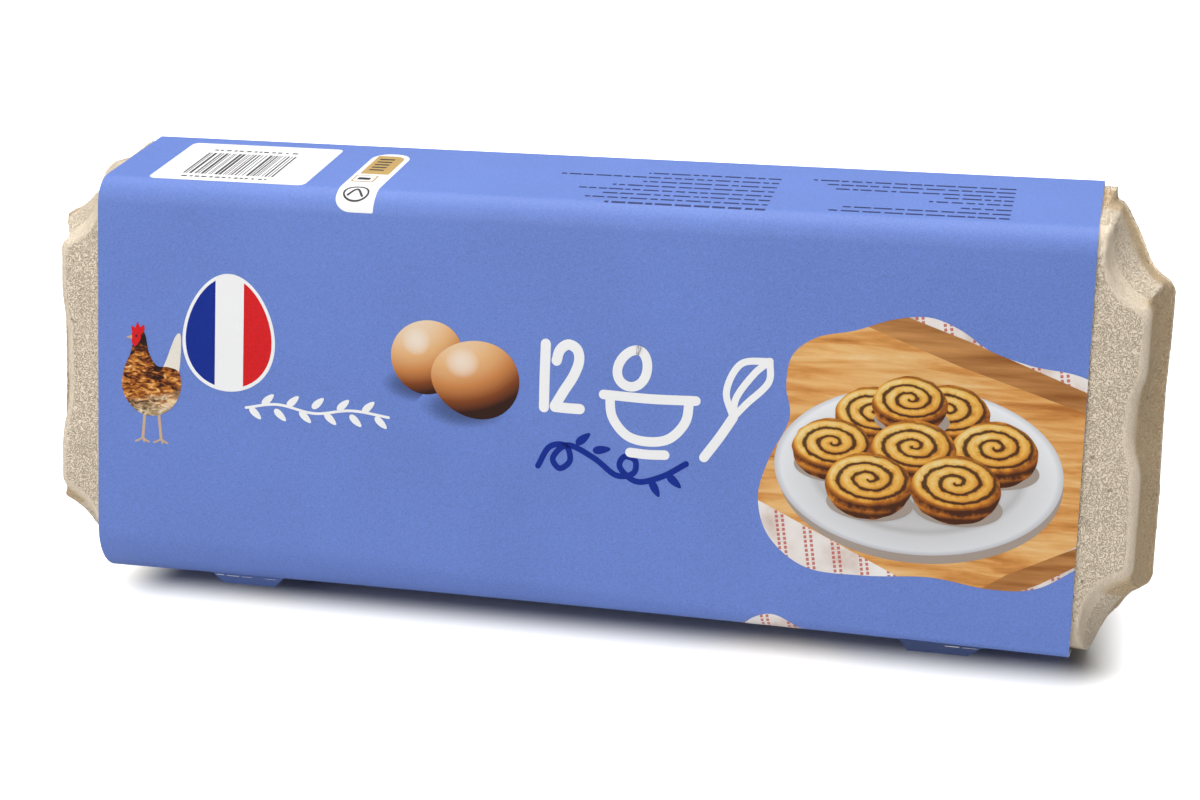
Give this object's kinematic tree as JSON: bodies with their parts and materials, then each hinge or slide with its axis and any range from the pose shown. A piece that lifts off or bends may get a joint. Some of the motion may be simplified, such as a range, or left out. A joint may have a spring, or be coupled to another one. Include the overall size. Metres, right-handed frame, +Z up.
{
  "type": "egg carton with eggs",
  "caption": "Shut moulded-pulp egg carton, two rows of eggs wide, in a blue printed card sleeve with two small flaps; it stands on a long side.",
  "frame": {"origin": "on the floor, under the middle of the pack's bounding box", "axes": "+X along the pack's length, +Y from the printed front to the back, +Z up; the pack leans back 8.2 degrees and rests on the lower back side panel of its sleeve"},
  "size_m": [0.2888, 0.083, 0.1184],
  "materials": {
    "printed_card": "smooth satin print on thin white card",
    "pulp": "rough fibrous grey-beige moulded pulp"
  },
  "bodies": {
    "root": {"sleeve": "printed_card", "lid": "pulp", "base": "pulp"}
  },
  "joints": []
}
